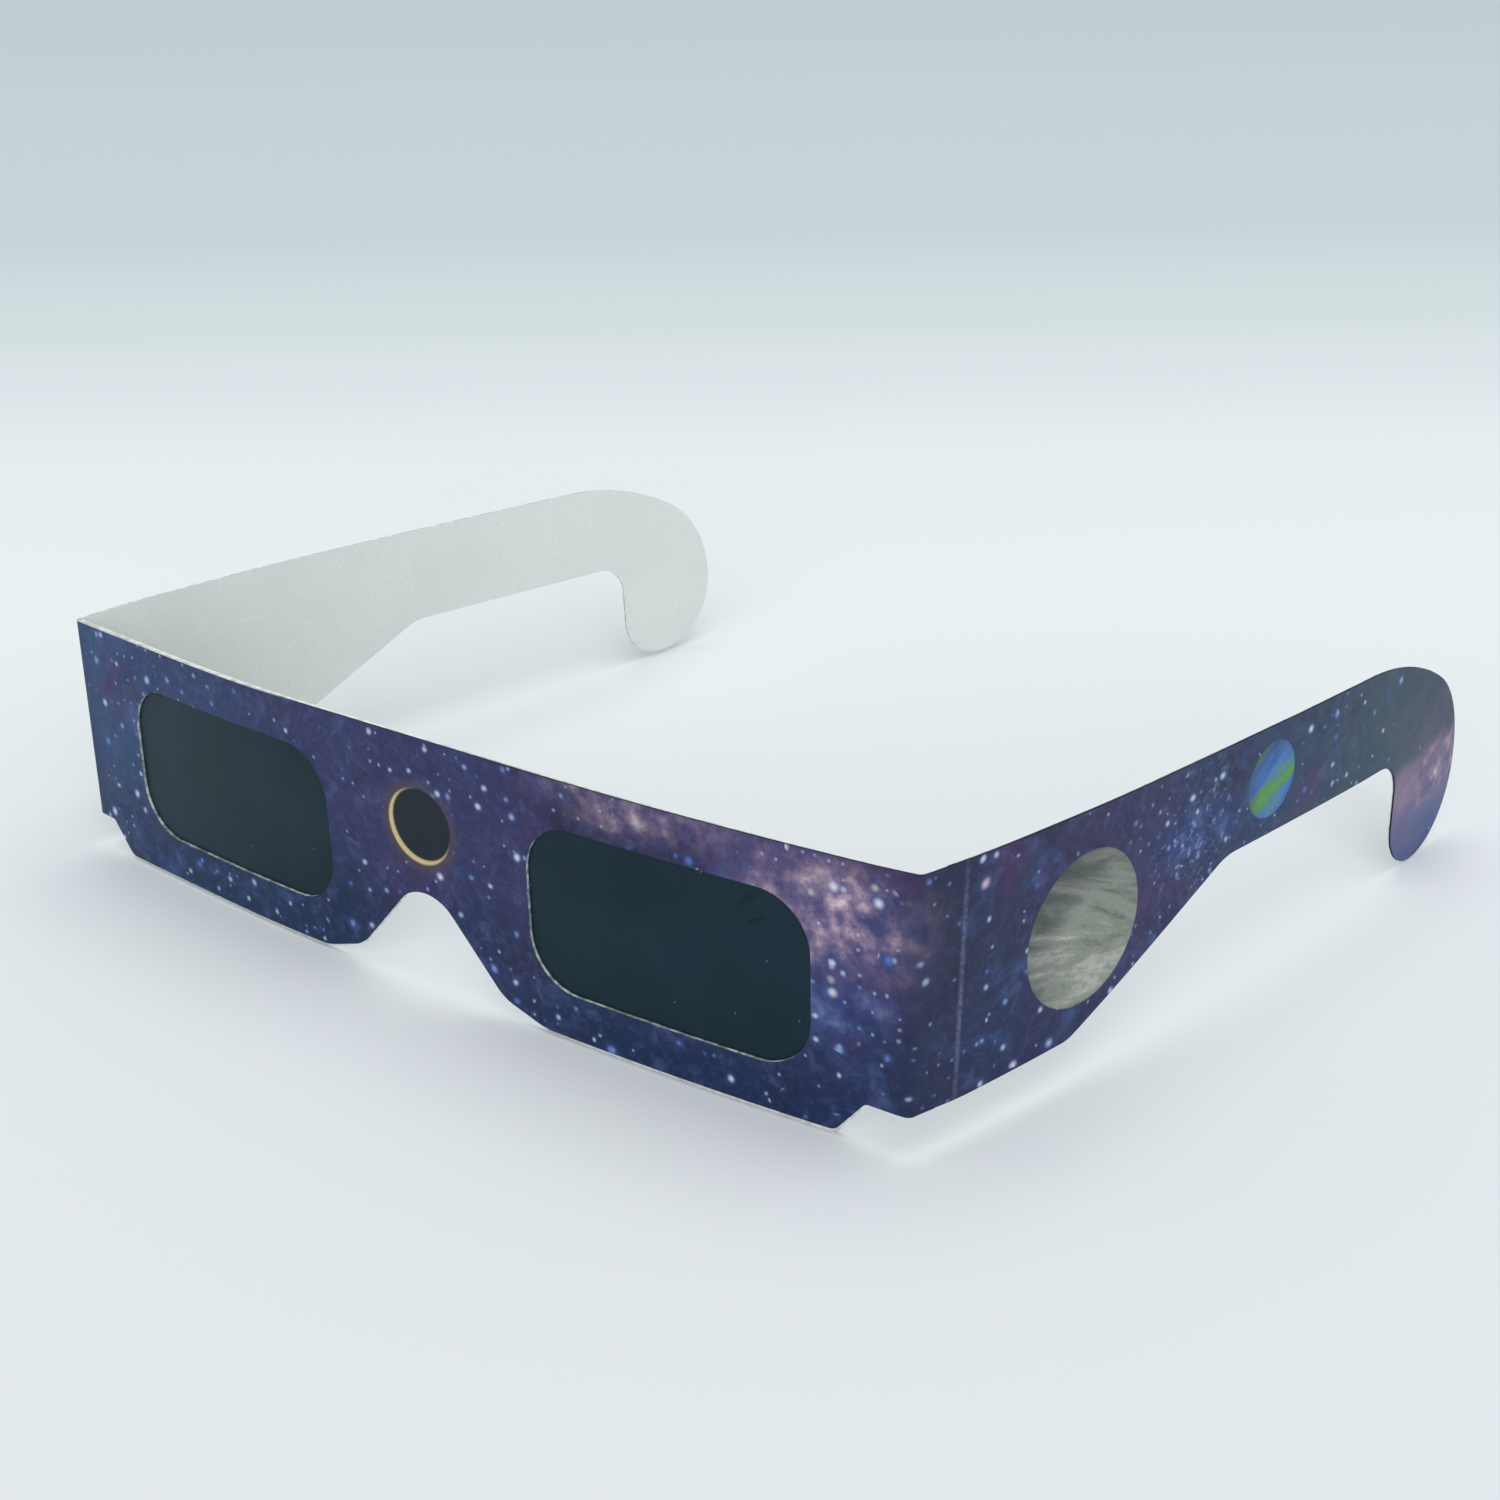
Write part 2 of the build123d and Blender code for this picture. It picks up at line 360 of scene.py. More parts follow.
# %% Splay of the folds
right_fold_middle = (right_fold_from + right_fold_to) / 2
fold_splays = [
    # place along the card, shift of its foot and of its top in mm, reach before and after it
    (-right_fold_middle, (-0.9, -0.6), (-0.32, -0.21), 30 * mm, 34 * mm),
    (left_fold_from, (-0.6, -0.43), (0, 0), 6 * mm, 9 * mm),
    (left_crease, (0, 0), (0.72, 0.53), 12 * mm, 45 * mm),
]


def splay(along, height):
    """How far the bent card is shifted here because its folds don't stand upright."""
    moved = Vector((0, 0, 0))
    for centre, foot, top, before, after in fold_splays:
        share = 1 - (along - centre) / after if along > centre else 1 - (centre - along) / before
        share = min(max(share, 0), 1)
        shift = Vector(foot).lerp(Vector(top), height / front_height)
        moved += share * share * (3 - 2 * share) * Vector((*shift, 0)) * mm
    return moved


# %% Lay a sheet along the line
smooth_under = radians(35)


def lay_on_line(sheet):
    """Map a flat sheet and bend it along the plan line, with the slight splay of its folds."""
    map_flat(sheet)
    shifts = [splay(vertex.co.x, vertex.co.z) for vertex in sheet.data.vertices]
    for vertex in sheet.data.vertices:
        vertex.co.x += right_length
    apply_modifier(sheet, "CURVE", object=card_line, deform_axis="POS_X")
    for vertex, shift in zip(sheet.data.vertices, shifts):
        vertex.co += shift
    select_only(sheet)
    bpy.ops.object.shade_smooth_by_angle(angle=smooth_under)


# %% [markdown]
# ## Finishes
#
# Each finish is a small tree of nodes. One helper holds short words for the nodes, so that a
# recipe reads as a list of paints. Places on a sheet are read in millimetres from its own flat
# map, with 0 at the middle of the windows and at the foot of the front.

# %% Short words for nodes
def ink(red, green, blue):
    """A printed colour from its 0 to 255 values, as the light that the shader expects."""
    shares = [value / 255 for value in (red, green, blue)]
    linear = [v / 12.92 if v <= 0.04045 else ((v + 0.055) / 1.055) ** 2.4 for v in shares]
    return (*linear, 1)


class Finish:
    """One material and the nodes that make it."""

    def __init__(self, name, roughness, gloss):
        self.material = bpy.data.materials.new(name)
        self.material.use_nodes = True
        self.nodes = self.material.node_tree.nodes
        self.links = self.material.node_tree.links
        self.shader = self.nodes["Principled BSDF"]
        self.shader.inputs["Roughness"].default_value = roughness
        self.shader.inputs["Specular IOR Level"].default_value = gloss

    def add(self, kind, inputs, output=0, **settings):
        made = self.nodes.new("ShaderNode" + kind)
        for name, value in settings.items():
            setattr(made, name, value)
        for socket, value in inputs.items():
            if isinstance(value, bpy.types.NodeSocket):
                self.links.new(value, made.inputs[socket])
            else:
                made.inputs[socket].default_value = value
        return made.outputs if output is None else made.outputs[output]

    def sheet_place(self):
        flat = self.add("UVMap", {}, uv_map="sheet")
        return self.add("VectorMath", {0: flat, 3: sheet_unit / mm}, operation="SCALE")

    def object_place(self):
        return self.add("TexCoord", {}, output=3)

    def split(self, vector):
        return self.add("SeparateXYZ", {0: vector}, output=None)

    def join(self, x, y):
        return self.add("CombineXYZ", {0: x, 1: y})

    def math(self, operation, first, second=0.0):
        return self.add("Math", {0: first, 1: second}, operation=operation)

    def times(self, first, second):
        return self.math("MULTIPLY", first, second)

    def scaled(self, value, factor, shift=0.0):
        return self.add("Math", {0: value, 1: factor, 2: shift}, operation="MULTIPLY_ADD")

    def away(self, value, centre):
        """How far a value is from this centre."""
        return self.math("ABSOLUTE", self.scaled(value, 1.0, -centre))

    def step(self, value, low, high, to_low=0.0, to_high=1.0):
        """A soft step: to_low at low, to_high at high."""
        inputs = {0: value, 1: low, 2: high, 3: to_low, 4: to_high}
        return self.add("MapRange", inputs, interpolation_type="SMOOTHSTEP")

    def mix(self, share, first, second):
        return self.add("Mix", {0: share, 6: first, 7: second}, output=2, data_type="RGBA")

    def noise(self, place, size, detail=3.0, rough=0.5, swirl=0.0, shift=0.0):
        """Soft blotches about this many millimetres across, between 0 and 1."""
        inputs = {
            "Vector": place, "W": shift, "Scale": 1 / size,
            "Detail": detail, "Roughness": rough, "Distortion": swirl,
        }
        return self.add("TexNoise", inputs, noise_dimensions="4D")

    def core_grain(self):
        """Fine grain in the body of a piece, for what shows no flat sheet."""
        inputs = {"Vector": self.object_place(), "Scale": 900.0, "Detail": 3.0}
        return self.add("TexNoise", inputs)

    def colours(self, value, stops, low=0, high=1):
        """A run of colours, each at its place between low and high."""
        share = self.add("MapRange", {0: value, 1: low, 2: high})
        ramp = self.nodes.new("ShaderNodeValToRGB")
        ramp.color_ramp.interpolation = "EASE"
        points = ramp.color_ramp.elements
        for index, (place, colour) in enumerate(stops):
            position = (place - low) / (high - low)
            point = points[index] if index < 2 else points.new(position)
            point.position = position
            point.color = colour
        self.links.new(share, ramp.inputs[0])
        return ramp.outputs[0]

    def distance(self, place, x, y):
        return self.add("VectorMath", {0: place, 1: (x, y, 0)}, output=1, operation="DISTANCE")

    def stretched(self, place, x, y):
        """The same places with x and y scaled, which draws a pattern out the other way."""
        return self.add("VectorMath", {0: place, 1: (x, y, 1.0)}, operation="MULTIPLY")

    def colour(self, value):
        self.links.new(value, self.shader.inputs["Base Color"])

    def rough(self, value):
        self.links.new(value, self.shader.inputs["Roughness"])

    def bump(self, height, depth, strength):
        inputs = {"Height": height, "Distance": depth, "Strength": strength}
        self.links.new(self.add("Bump", inputs), self.shader.inputs["Normal"])


# %% [markdown]
# ### The starry print
#
# The outside of the card is printed with a night sky. Its ground is navy along the foot and
# changes slowly from slate to violet above, and each hook has a slate crown over a rosy band. A
# photo of a sky could be pasted on, but painted with noise it has no edges or seams, runs on over
# every fold, and stays sharp at any distance.

# %% Ground colours of the sky, high and low on the card
sky = Finish("starry_print", 0.42, gloss=0.18)
sky_place = sky.sheet_place()
sky_x, sky_y, _ = sky.split(sky_place)
sky_reach = sky.math("ABSOLUTE", sky_x)
wander = sky.noise(sky_place, 30, detail=3, shift=2.0)
warped = sky.math("ADD", sky_x, sky.scaled(wander, 40.0, -20.0))
upper = sky.colours(warped, [
    (-200, ink(58, 76, 108)), (-150, ink(42, 60, 96)), (-110, ink(36, 62, 102)),
    (-78, ink(40, 74, 116)), (-54, ink(38, 62, 106)), (-28, ink(46, 52, 94)),
    (8, ink(50, 50, 94)), (38, ink(62, 50, 90)), (58, ink(74, 66, 108)),
    (80, ink(42, 50, 80)), (104, ink(50, 48, 84)), (136, ink(40, 58, 94)),
    (166, ink(50, 72, 90)),
], -210, 210)
lower = sky.colours(warped, [
    (-200, ink(36, 54, 88)), (-84, ink(24, 54, 90)), (-40, ink(18, 46, 80)),
    (0, ink(22, 40, 76)), (30, ink(20, 42, 80)), (60, ink(20, 40, 80)),
    (78, ink(30, 42, 80)), (110, ink(34, 40, 80)), (150, ink(38, 52, 86)),
], -210, 210)
foot_band = (4, 24)
sway = sky.noise(sky_place, 20, detail=5, rough=0.6, shift=7.0)
swaying_y = sky.math("ADD", sky_y, sky.scaled(sway, 28.0, -14.0))
paint = sky.mix(sky.step(swaying_y, *foot_band), lower, upper)
print("ground of the sky:", len(sky.nodes), "nodes")

# %% Slate crown and rosy band of each hook
hook_zone, band_slope, band_middle = (164, 176), 0.15, 188
hook = sky.step(sky.math("ADD", sky_reach, sky.scaled(wander, 20.0, -10.0)), *hook_zone)
rosy_y = sky.math("ADD", sky_y, sky.scaled(sway, 14.0, -7.0))
slant = sky.scaled(sky_reach, -band_slope, band_slope * band_middle)
hook_tones = sky.colours(sky.math("ADD", rosy_y, slant), [
    (-2, ink(54, 78, 132)), (4, ink(84, 92, 136)), (9, ink(104, 102, 140)),
    (13, ink(138, 120, 144)), (16, ink(126, 112, 138)), (20, ink(68, 80, 100)),
    (28, ink(54, 74, 90)),
], -5, 45)
paint = sky.mix(hook, paint, hook_tones)

# %% [markdown]
# ### Clouds
#
# A printed night sky is layers of soft blotches, from large and faint to a fine mottle. One noise
# with much detail looks alike all over, so each layer has its own size, thresholds and colour, and
# all are faint on the hooks. Star clouds are ragged ovals with knots: misty blue and rosy ones.

# %% Blotches of violet, dark and pale blue, and a fine mottle over all
for size, low, high, most, at_foot, colour, swirl, shift in (
    (15, 0.49, 0.68, 0.75, 0.2, ink(72, 50, 94), 0.5, 11.0),
    (17, 0.50, 0.70, 0.80, 1.0, ink(24, 34, 60), 0.4, 23.0),
    (8, 0.53, 0.72, 0.60, 1.0, ink(62, 92, 148), 0.3, 31.0),
    (3.0, 0.50, 0.74, 0.50, 1.0, ink(82, 92, 142), 0.8, 37.0),
    (2.2, 0.50, 0.74, 0.45, 1.0, ink(20, 28, 56), 0.8, 47.0),
    (1.2, 0.45, 0.75, 0.18, 1.0, ink(92, 106, 156), 0.6, 57.0),
):
    blotches = sky.noise(sky_place, size, detail=5, rough=0.62, swirl=swirl, shift=shift)
    share = sky.step(blotches, low, high, 0.0, most)
    by_height = sky.step(sky_y, *foot_band, at_foot, 1.0)
    where = sky.times(by_height, sky.scaled(hook, -0.75, 1.0))
    paint = sky.mix(sky.times(share, where), paint, colour)
print("with the hooks and blotches:", len(sky.nodes), "nodes")

# %% Star clouds, rosy and misty blue
rosy = [
    (0.34, ink(66, 68, 114)), (0.44, ink(102, 92, 132)), (0.53, ink(142, 122, 152)),
    (0.61, ink(184, 160, 176)), (0.70, ink(226, 210, 214)),
]
misty = [
    (0.36, ink(26, 48, 96)), (0.5, ink(50, 74, 132)), (0.6, ink(84, 106, 164)),
    (0.72, ink(128, 146, 194)),
]
star_clouds = (
    # middle x and y, half width and height, strength, tones
    (61, 18, 14, 5, 0.5, misty),
    (63, 29, 13, 7.5, 0.88, rosy),
    (36, 36, 16, 4, 0.55, rosy),
    (-118, 24, 20, 9, 0.6, rosy),
    (-192, 13, 12, 5, 0.7, rosy),
    (192, 13, 12, 5, 0.7, rosy),
    (124, 26, 13, 4, 0.65, misty),
    (-146, 27, 11, 5, 0.6, misty),
)
for x, y, wide, high, most, tones in star_clouds:
    offset_x = sky.scaled(sky_x, 1 / wide, -x / wide)
    offset_y = sky.scaled(sky_y, 1 / high, -y / high)
    offset = {0: sky.join(offset_x, offset_y)}
    from_middle = sky.add("VectorMath", offset, output=1, operation="LENGTH")
    tatters = sky.noise(sky_place, 6, detail=5, rough=0.65, shift=41.0)
    ragged = sky.math("ADD", from_middle, tatters)
    knots = sky.noise(sky_place, 3.2, detail=3, rough=0.55, shift=43.0)
    share = sky.step(ragged, 1.8, 0.8, 0.0, most)
    paint = sky.mix(share, paint, sky.colours(knots, tones))
print("with the star clouds:", len(sky.nodes), "nodes")

# %% Pale flecks in the misty cloud of the left temple
fleck_middle = (124, 26)
flecks = sky.step(sky.noise(sky_place, 1.3, detail=3, rough=0.6, shift=59.0), 0.54, 0.70)
near_cloud = sky.step(sky.distance(sky_place, *fleck_middle), 12, 4, 0.0, 0.65)
paint = sky.mix(sky.times(flecks, near_cloud), paint, ink(142, 166, 214))

# %% [markdown]
# ### Stars
#
# A printed star is a pale dot with a faint blue halo. Dots could be placed one by one, but there
# are hundreds. A Voronoi texture gives every small cell one random point, the distance to it and a
# random colour, which serves as the star's lot, size and hue. One noise strews the cells, so that
# no rows show, and the stars gather where another is high.

# %% Strew stars of one size
halo_size, halo_strength = 1.9, 0.5


def add_stars(paint, cell, share, radii, peak, shift, where, tints):
    """Stars one to a cell of this many millimetres; share is how many of the cells have one."""
    strewing = sky.noise(sky_place, 3.5 * cell, detail=0, shift=shift + 5)
    strewn = sky.scaled(strewing, 0.7 * cell, shift)
    moved = sky.add("VectorMath", {0: sky_place, 1: sky.join(strewn, strewn)}, operation="ADD")
    cells = {"Vector": moved, "Scale": 1 / cell, "Randomness": 1 - 2 * radii[1] / cell}
    field = sky.add("TexVoronoi", cells, output=None, voronoi_dimensions="2D")
    lot, size, hue = sky.add("SeparateColor", {0: field["Color"]}, output=None)
    from_star = sky.times(field["Distance"], cell)
    gathered = sky.noise(sky_place, 16, detail=3, shift=shift)
    busy = sky.step(gathered, 0.36, 0.62, 0.3 * share, 1.7 * share)
    lit = sky.math("LESS_THAN", lot, sky.times(busy, where))
    radius = sky.scaled(size, radii[1] - radii[0], radii[0])
    core = sky.step(from_star, radius, 0.0, 0.0, peak)
    halo_radius = sky.times(radius, halo_size)
    halo = sky.step(from_star, halo_radius, 0.0, 0.0, halo_strength * peak)
    paint = sky.mix(sky.times(halo, lit), paint, ink(56, 84, 152))
    return sky.mix(sky.times(core, lit), paint, sky.colours(hue, tints))


# %% Stars in three sizes, and a warm crowd of them in the large rosy cloud
cool_tints = [
    (0.0, ink(80, 114, 188)), (0.3, ink(136, 164, 214)), (0.6, ink(200, 210, 230)),
    (0.9, ink(220, 222, 232)), (1.0, ink(206, 180, 196)),
]
warm_tints = [
    (0.0, ink(150, 140, 186)), (0.4, ink(196, 166, 180)), (0.8, ink(222, 206, 206)),
    (1.0, ink(208, 204, 190)),
]
before_hook = sky.step(sky_reach, 158, 168, 1.0, 0.2)
on_front = sky.step(sky_reach, 80, 90, 1.0, 0.55)
in_cloud = sky.step(sky.distance(sky_place, 64, 28), 10.5, 7)
large_where = sky.times(before_hook, on_front)
star_sizes = (
    # cell, share of cells, least and most radius, brightness, shift, where, tints
    (1.8, 0.16, (0.26, 0.42), 0.5, 3.0, before_hook, cool_tints),
    (3.3, 0.21, (0.45, 0.7), 0.75, 60.0, before_hook, cool_tints),
    (2.7, 0.5, (0.5, 0.8), 0.65, 25.0, in_cloud, warm_tints),
    (6.6, 0.36, (0.65, 1.0), 1.0, 140.0, large_where, cool_tints),
)
for star_size in star_sizes:
    paint = add_stars(paint, *star_size)
print("with the stars:", len(sky.nodes), "nodes")

# %% [markdown]
# ### Printed motifs
#
# Plain round motifs sit on the sky: a thin golden crescent round a dark disc between the windows, a
# large banded planet on the temple and a small blue one further back. Each is a distance from a
# centre, so its rim is a true circle.


# %% Crescent over the nose
def disc(x, y, radius, soft=0.12):
    return sky.step(sky.distance(sky_place, x, y), radius + soft, radius - soft)


crescent_x, crescent_y = -0.6, 24.2
glow_radius, gold_radius, dark_radius = 7.8, 5.4, 5.15
glow = sky.step(sky.distance(sky_place, crescent_x, crescent_y), glow_radius, 4.8, 0.0, 0.6)
gold = disc(crescent_x, crescent_y, gold_radius, 0.2)
dark_disc = disc(crescent_x + 0.5, crescent_y + 0.45, dark_radius, 0.22)
paint = sky.mix(glow, paint, ink(96, 78, 62))
paint = sky.mix(gold, paint, ink(206, 188, 140))
paint = sky.mix(dark_disc, paint, ink(22, 36, 44))


# %% A round planet
def add_planet(paint, x, y, radius, lean, bands, band_size, shift):
    """A round planet with soft leaning bands, darker towards one side."""
    centred = sky.add("Mapping", {0: sky_place, 1: (-x, -y, 0)}, vector_type="POINT")
    tilt = {0: centred, "Angle": radians(lean)}
    leaning = sky.add("VectorRotate", tilt, rotation_type="Z_AXIS")
    drawn_out = sky.stretched(leaning, 0.2, 1.0)
    belts = sky.noise(drawn_out, band_size, detail=5, rough=0.65, swirl=0.8, shift=shift)
    face = sky.colours(belts, bands)
    from_light = sky.distance(sky_place, x + 0.35 * radius, y - 0.35 * radius)
    shade = sky.step(from_light, radius * 0.7, radius * 1.5, 0.0, 0.5)
    pits = sky.noise(sky_place, 0.9, detail=4, rough=0.7, swirl=0.4, shift=shift + 2)
    face = sky.mix(sky.step(pits, 0.5, 0.75, 0.0, 0.35), face, bands[0][1])
    face = sky.mix(shade, face, ink(40, 48, 60))
    return sky.mix(disc(x, y, radius), paint, face)


# %% Planets of the left temple
stone = [
    (0.32, ink(72, 82, 76)), (0.43, ink(104, 112, 104)), (0.53, ink(138, 144, 136)),
    (0.66, ink(180, 182, 174)),
]
water = [
    (0.34, ink(40, 84, 156)), (0.5, ink(74, 120, 186)), (0.57, ink(84, 146, 88)),
    (0.7, ink(98, 160, 76)),
]
paint = add_planet(paint, 101.4, 20.6, 10.4, 18, stone, 4.8, 61.0)
paint = add_planet(paint, 140.6, 27.8, 5.4, -30, water, 3.6, 67.0)
print("with the motifs:", len(sky.nodes), "nodes")

# %% [markdown]
# ### Painted fold shade, wear, grain and varnish
#
# Printed card is darkened round each fold by a painted shade, where the card turns away from the
# light, and its ink cracks to a pale broken line along each crease. The cracks could be cut into the
# mesh, but they are a quarter of a millimetre wide and have no depth, so they are painted. Over all
# lie a fine grain of ink and a thin varnish whose gloss wavers.

# %% Painted shade round each fold, and cracked ink along each crease
strip_middle, crease_width = 76.2, 0.27
# painted shade: the print is darkened towards the middle of each strip, where the fold turns the
# card away from the light
shade = sky.step(sky.away(sky_reach, strip_middle), 7.0, 1.5, 0.0, 0.4)
paint = sky.mix(shade, paint, ink(34, 40, 60))
scuffs = sky.noise(sky_place, 0.6, detail=4, rough=0.65, shift=71.0)
mid_height = sky.step(sky.away(sky_y, 21.0), 17, 6, 0.25, 0.6)
for crease_x in (left_crease / mm, -right_crease / mm):
    crack = sky.step(sky.away(sky_x, crease_x), 2 * crease_width, 0.3 * crease_width)
    crack = sky.times(crack, mid_height)
    broken = sky.times(crack, sky.step(scuffs, 0.35, 0.6, 0.25, 1.0))
    paint = sky.mix(broken, paint, ink(112, 118, 150))

# %% Print grain and varnish
grain = sky.noise(sky_place, 0.3, detail=2, shift=83.0)
sky.colour(sky.mix(sky.step(grain, 0.3, 0.7, 0.0, 0.14), paint, ink(20, 22, 40)))
varnish = sky.noise(sky_place, 6, detail=4, rough=0.6, shift=89.0)
sky.rough(sky.step(varnish, 0.3, 0.7, 0.36, 0.5))
sky.bump(sky.math("ADD", varnish, sky.scaled(grain, 0.03)), 0.1 * mm, 0.5)
print("starry print uses", len(sky.nodes), "nodes")

# %% [markdown]
# ### Bare card and its cut edges
#
# The inside of the card has no ink, only pressed fibres and a faint clouding. A cut edge shows the
# core in layers, rougher than the face. The outer card's own rim is pale, but on the near half it
# has a dark band on the side next to the print. One finish with masks could serve them all, but each
# rim has a slot of its own, so each gets its own short recipe.

# %% Bare card
bare_card = Finish("bare_card", 0.72, gloss=0.2)
card_place = bare_card.sheet_place()
fibres = bare_card.noise(card_place, 0.6, detail=5, rough=0.7, swirl=1.2)
clouding = bare_card.noise(card_place, 12, detail=2, shift=5.0)
pressed = bare_card.step(fibres, 0.3, 0.7)
fibre_tone = bare_card.mix(pressed, ink(217, 222, 219), ink(228, 232, 230))
clouded = bare_card.step(clouding, 0.3, 0.7, 0.0, 0.5)
bare_card.colour(bare_card.mix(clouded, fibre_tone, ink(213, 220, 217)))
bare_card.bump(fibres, 0.02 * mm, 0.5)

# %% Cut edges, plain and with a dark band on the near half
dark_band_depth = (85, 55)  # percent of the card's thickness, counted from the print
dark_band_start = (-36, -20)  # millimetres along the card, a little right of the nose


def cut_edge_finish(name, dark, pale, with_dark_band=False):
    """A rough card core in layers; the last argument adds a dark band on the print side of the rim,
    over the near half of the card.
    """
    edge = Finish(name, 0.85, gloss=0.15)
    layers = edge.core_grain()
    core = edge.mix(edge.step(layers, 0.35, 0.65), dark, pale)
    if with_dark_band:
        # a dark band on the print side of the rim, from a little right of the nose over the near
        # half of the card
        along, across, _ = edge.split(edge.sheet_place())
        dark_band_share = edge.times(edge.step(across, *dark_band_depth), edge.step(along, *dark_band_start))
        core = edge.mix(dark_band_share, core, ink(34, 38, 50))
    edge.colour(core)
    edge.bump(layers, 0.02 * mm, 0.4)
    return edge.material


cut_edge = cut_edge_finish("cut_edge", ink(112, 124, 122), ink(198, 206, 202))
half_dark_edge = cut_edge_finish("half_dark_edge", ink(176, 182, 182), ink(220, 224, 222), with_dark_band=True)
white_edge = cut_edge_finish("white_edge", ink(206, 210, 208), ink(236, 239, 238))

# The slots of a sheet: print side, back, rim of a hole, rim of the outline
printed_materials = (sky.material, bare_card.material, cut_edge, half_dark_edge)
white_materials = (white_edge, bare_card.material, cut_edge, white_edge)
print("slots of the printed card:", [material.name for material in printed_materials])

# %% [markdown]
# ### Film
#
# Solar film is polymer with carbon in it, nearly black with a cold cast. It is smooth but never
# quite flat, so it has a satin sheen that wavers, and it picks up dust and a smear from handling.
# It could be a see-through shader, but so little light passes that nothing is seen through it, and
# an opaque one is surer in every renderer.

# %% Film, with faint streaks from its making
tint = Finish("solar_film", 0.34, gloss=0.14)
film_place = tint.sheet_place()
ripple = tint.noise(film_place, 14, detail=3, rough=0.55, shift=3.0)
film_colour = tint.mix(tint.step(ripple, 0.35, 0.65), ink(14, 37, 48), ink(20, 43, 55))
streaks = tint.noise(tint.stretched(film_place, 1.0, 0.06), 2.0, detail=2, shift=9.0)
streaked = tint.step(streaks, 0.4, 0.7, 0.0, 0.1)
film_colour = tint.mix(streaked, film_colour, ink(16, 34, 46))

# %% A smear on the film
smear_x, smear_y, smear_reach, smear_lean = 52, 27, 3.6, radians(-35)
tilt = {0: film_place, 1: (smear_x, smear_y, 0), "Angle": smear_lean}
turned = tint.add("VectorRotate", tilt, rotation_type="Z_AXIS")
brushed = tint.noise(tint.stretched(turned, 0.15, 1.0), 0.8, detail=4, shift=15.0)
strokes = tint.step(brushed, 0.5, 0.62)
near_smear = tint.step(tint.distance(film_place, smear_x, smear_y), smear_reach, 1.0)
smear = tint.times(near_smear, strokes)
film_colour = tint.mix(tint.times(smear, 0.5), film_colour, ink(8, 22, 32))

# %% A little dust, and the sheen of the film
dust_cell, dust_share, dust_radius = 4.5, 0.08, 0.13
cells = {"Vector": film_place, "Scale": 1 / dust_cell}
dust = tint.add("TexVoronoi", cells, output=None, voronoi_dimensions="2D")
lot = tint.add("SeparateColor", {0: dust["Color"]}, output=0)
from_speck = tint.times(dust["Distance"], dust_cell)
dusty = tint.math("LESS_THAN", lot, dust_share)
speck = tint.times(tint.step(from_speck, dust_radius, 0.05), dusty)
tint.colour(tint.mix(speck, film_colour, ink(112, 136, 132)))
sheen = tint.step(streaks, 0.3, 0.7, 0.33, 0.36)
tint.rough(tint.math("ADD", sheen, tint.scaled(smear, 0.2)))
tint.bump(ripple, 0.5 * mm, 0.3)
print("film uses", len(tint.nodes), "nodes")

# %% [markdown]
# ### Glue
#
# Paper glue dries pale and yellowish in small beads. It is hidden between the cards, so it could
# stay plain, but a grain in its body costs nothing and shows if the cards are taken apart.

# %% Dried glue
dried_glue = Finish("dried_glue", 0.45, gloss=0.4)
beads = dried_glue.core_grain()
dried_glue.colour(dried_glue.mix(beads, ink(196, 196, 182), ink(232, 232, 222)))
dried_glue.bump(beads, 0.05 * mm, 0.5)

# %% [markdown]
# ## Outlines
#
# The flat card has a cut for the nose with two straight flanks and rounded shoulders, a notch
# before each fold, rounded windows, and temples that taper to a hook. A list of points could hold
# each outline, but a list of sharp corners with a radius each, as on a die maker's drawing, is
# short, and a size in it can change without redrawing.

# %% Outline of the front
blank_shift = 1.8 * mm
nose_shift = 0.5 * mm
notch_height = 5.4 * mm
notch_radius = 0.9 * mm
notch_trim = 0.5 * mm
nose_height = 14.4 * mm
nose_radius = 6.3 * mm
nose_border = 2.42 * mm
shoulder_height = 2.8 * mm
shoulder_reach = 2.2 * mm
shoulder_radius = 3.0 * mm

crown_height = nose_height - nose_radius
flank_foot = bridge_width / 2 - nose_border
flank = atan2(crown_height, flank_foot) + asin(nose_radius / hypot(crown_height, flank_foot))
nose_peak = flank_foot * tan(flank)


def front_corners(left_reach, right_reach, trim=0.0):
    """Corners of the front's outline, in the flat card's places; trim shortens its foot."""
    middle, foot = -nose_shift, front_lift
    notch = [
        (notch_half + notch_run, foot + notch_height, notch_radius),
        (notch_half + notch_trim, foot + trim, 2 * notch_radius),
    ]
    shoulder = [
        (bridge_width / 2 + shoulder_reach, foot + trim, 3 * shoulder_radius),
        (flank_foot - shoulder_height / tan(flank), foot + shoulder_height, 2 * shoulder_radius),
    ]
    left = [(x - blank_shift, z, radius) for x, z, radius in notch]
    left += [(middle + x, z, radius) for x, z, radius in shoulder]
    right = [(middle - x, z, radius) for x, z, radius in reversed(notch + shoulder)]
    return (
        [(left_reach, foot + notch_height, 0)]
        + left
        + [(middle, foot + nose_peak, nose_radius)]
        + right
        + [(-right_reach, foot + notch_height, 0)]
        + [(-right_reach, card_top, 0), (left_reach, card_top, 0)]
    )


# %% Outline of a window
window_drop = 6.5 * mm
window_foot = 7.0 * mm
window_radius = 7.4 * mm
window_height = front_height - window_drop - window_foot
window_offset = (bridge_width + window_width) / 2


def window_corners(side, grow=0.0):
    """Corners of a window, larger by grow on every side."""
    centre = side * window_offset
    low = front_lift + window_foot - grow
    high = front_lift + window_foot + window_height + grow
    reach = window_width / 2 + grow
    corners = ((-reach, low), (reach, low), (reach, high), (-reach, high))
    return [(centre + x, z, window_radius) for x, z in corners]


def cut_windows(sheet, grow=0.0, turn=0.0, about=(0, 0)):
    for side in (-1, 1):
        cut(sheet, add_cutter(window_corners(side, grow), turn, about), "DIFFERENCE")


print("window:", round(window_width / mm, 1), "by", round(window_height / mm, 1), "mm")

